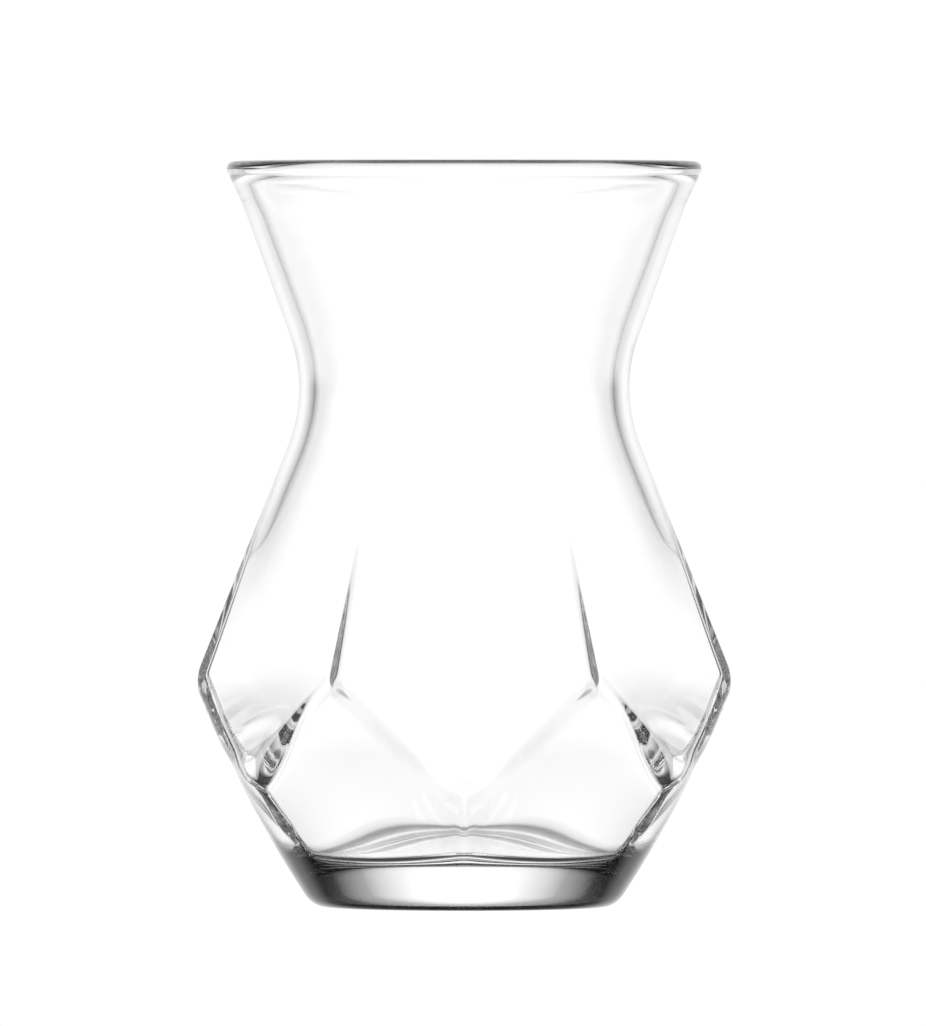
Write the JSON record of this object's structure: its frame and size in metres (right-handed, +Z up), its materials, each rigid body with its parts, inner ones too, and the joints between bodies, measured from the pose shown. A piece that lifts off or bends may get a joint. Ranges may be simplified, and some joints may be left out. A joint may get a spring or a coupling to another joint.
{
  "type": "turkish tea glass",
  "caption": "Empty clear tea glass with a waisted bowl, flared rounded rim, soft-edged faceted belly and thick round foot.",
  "frame": {"origin": "centre of the foot, on the surface the glass stands on", "axes": "+Z up along the glass's axis, -Y out of the middle of one long belly facet"},
  "size_m": [0.0674, 0.0628, 0.0944],
  "materials": {
    "clear_glass": "clear, smooth and polished"
  },
  "bodies": {
    "root": {"glass": "clear_glass"}
  },
  "joints": []
}
